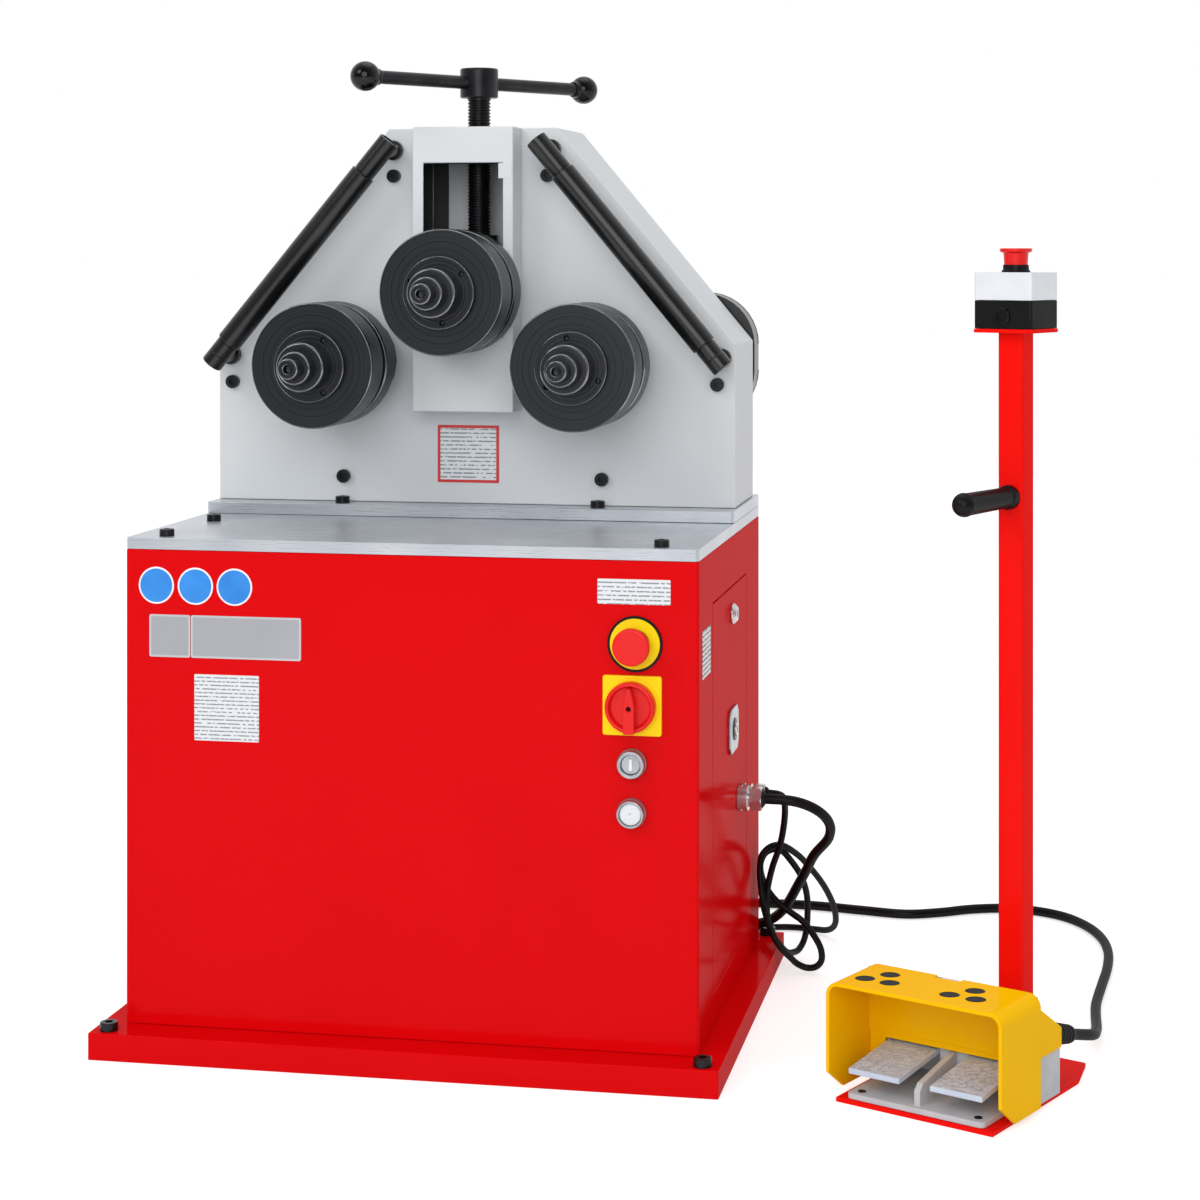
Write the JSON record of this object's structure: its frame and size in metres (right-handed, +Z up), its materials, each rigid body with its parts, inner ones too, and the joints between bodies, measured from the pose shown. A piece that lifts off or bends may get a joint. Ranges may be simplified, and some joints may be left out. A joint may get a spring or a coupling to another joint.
{
  "type": "ring roller",
  "caption": "Floor-standing ring and section roller: cabinet, cast head with three grooved roller stacks, T-handle feed screw, and a wired stand with foot pedals and an emergency stop.",
  "frame": {"origin": "centre of the underside of the cabinet's plinth, on the floor", "axes": "+Z up, +X to the operator's right along the cabinet's front, +Y away from the operator, so the controls and the rollers' noses face -Y"},
  "size_m": [1.1071, 0.8676, 1.109],
  "materials": {
    "red_paint": "gloss red enamel",
    "cast_grey": "light grey enamel over machined casting",
    "steel": "ground steel",
    "black_steel": "black-oxide turned steel",
    "black_paint": "satin black enamel",
    "chrome": "nickel plate",
    "bronze": "machined bronze",
    "yellow": "gloss yellow",
    "red_plastic": "gloss red",
    "white_plastic": "gloss white",
    "grey_plastic": "fine-textured grey",
    "black_plastic": "satin black plastic",
    "rubber": "black rubber"
  },
  "bodies": {
    "base": {"plinth": "red_paint", "cabinet_shell": "red_paint", "access_panel": "red_paint", "cable_gland": "chrome", "lead_gland": "chrome", "table_plate": "steel", "sub_plate": "steel", "head_casting": "cast_grey", "rear_cover": "cast_grey", "slide_guide": "cast_grey", "screw_nut": "bronze", "bearing_housing_left": "black_steel", "bearing_housing_right": "black_steel", "gear_motor": "black_paint", "shoulder_bar_left": "black_paint", "shoulder_bar_right": "black_paint", "estop_base": "yellow", "switch_plate": "yellow", "start_bezel": "chrome", "reset_bezel": "chrome", "floor_plate": "red_paint", "post": "red_paint", "pedal_base": "grey_plastic", "guard": "yellow", "grip": "rubber", "estop_box": "black_plastic", "estop_box_cover": "white_plastic", "cable_boot": "rubber", "pedal_cable": "rubber", "motor_lead": "rubber"},
    "carriage_body": {"carriage": "steel"},
    "screw_body": {"lead_screw": "black_steel", "handle_hub": "black_steel", "handle_bar": "black_steel", "knob_left": "black_plastic", "knob_right": "black_plastic"},
    "upper_rollers": {"upper_shaft": "black_steel", "upper_front_roller": "black_steel", "upper_rear_roller": "black_steel", "upper_clamp_nut": "black_steel"},
    "left_rollers": {"left_shaft": "black_steel", "left_front_roller": "black_steel", "left_rear_roller": "black_steel", "left_clamp_nut": "black_steel", "gear_left": "steel"},
    "right_rollers": {"right_shaft": "black_steel", "right_front_roller": "black_steel", "right_rear_roller": "black_steel", "right_clamp_nut": "black_steel", "gear_right": "steel"},
    "idler_body": {"idler_gear": "steel"},
    "pinion_body": {"drive_pinion": "steel"},
    "estop_body": {"estop_mushroom": "red_plastic"},
    "switch_body": {"switch_knob": "red_plastic"},
    "start_body": {"start_button": "grey_plastic"},
    "reset_body": {"reset_button": "white_plastic"},
    "lock_body": {"panel_lock": "chrome"},
    "pedal_left_body": {"pedal_left": "grey_plastic"},
    "pedal_right_body": {"pedal_right": "grey_plastic"},
    "post_estop_body": {"post_mushroom": "red_plastic"}
  },
  "joints": [
    {"name": "screw_turn", "type": "hinge", "parent": "carriage_body", "child": "screw_body", "pos_m": [0, 0.093, 1], "axis": [0, 0, 1], "range_deg": [-1800, 6300]},
    {"name": "carriage_slide", "type": "slide", "parent": "base", "child": "carriage_body", "axis": [0, 0, 1], "range_m": [-0.02, 0.07]},
    {"name": "upper_roller_spin", "type": "hinge", "parent": "carriage_body", "child": "upper_rollers", "pos_m": [0, 0, 0.84], "axis": [0, 1, 0], "continuous": true},
    {"name": "left_roller_spin", "type": "hinge", "parent": "base", "child": "left_rollers", "pos_m": [-0.154, 0, 0.755], "axis": [0, 1, 0], "continuous": true},
    {"name": "right_roller_spin", "type": "hinge", "parent": "base", "child": "right_rollers", "pos_m": [0.154, 0, 0.755], "axis": [0, 1, 0], "continuous": true},
    {"name": "idler_spin", "type": "hinge", "parent": "base", "child": "idler_body", "pos_m": [0, 0.175, 0.755], "axis": [0, 1, 0], "continuous": true},
    {"name": "pinion_spin", "type": "hinge", "parent": "base", "child": "pinion_body", "pos_m": [0.25575, 0.175, 0.755], "axis": [0, 1, 0], "continuous": true},
    {"name": "estop_push", "type": "slide", "parent": "base", "child": "estop_body", "axis": [0, 1, 0], "range_m": [0, 0.005]},
    {"name": "switch_turn", "type": "hinge", "parent": "base", "child": "switch_body", "pos_m": [0.251, -0.24, 0.4025], "axis": [0, 1, 0], "range_deg": [0, 90]},
    {"name": "start_push", "type": "slide", "parent": "base", "child": "start_body", "axis": [0, 1, 0], "range_m": [0, 0.004], "stiffness_N_per_m": 600, "springref_m": -0.003},
    {"name": "reset_push", "type": "slide", "parent": "base", "child": "reset_body", "axis": [0, 1, 0], "range_m": [0, 0.004], "stiffness_N_per_m": 600, "springref_m": -0.003},
    {"name": "lock_turn", "type": "hinge", "parent": "base", "child": "lock_body", "pos_m": [0.3225, 0.009, 0.468], "axis": [1, 0, 0], "range_deg": [0, 90]},
    {"name": "pedal_left_press", "type": "hinge", "parent": "base", "child": "pedal_left_body", "pos_m": [0.59563, -0.20149, 0.042], "axis": [0.907, -0.421, 0], "range_deg": [0, 8], "stiffness_Nm_per_rad": 8, "springref_deg": -6.88},
    {"name": "pedal_right_press", "type": "hinge", "parent": "base", "child": "pedal_right_body", "pos_m": [0.59563, -0.20149, 0.042], "axis": [0.907, -0.421, 0], "range_deg": [0, 8], "stiffness_Nm_per_rad": 8, "springref_deg": -6.88},
    {"name": "post_estop_push", "type": "slide", "parent": "base", "child": "post_estop_body", "axis": [0, 0, -1], "range_m": [0, 0.004]}
  ],
  "couplings": [
    {"joint": "carriage_slide", "follows": "screw_turn", "m_per_rad": 0.00063662},
    {"joint": "right_roller_spin", "follows": "left_roller_spin", "ratio": 1},
    {"joint": "idler_spin", "follows": "left_roller_spin", "ratio": -1},
    {"joint": "pinion_spin", "follows": "left_roller_spin", "ratio": -3.1111}
  ]
}
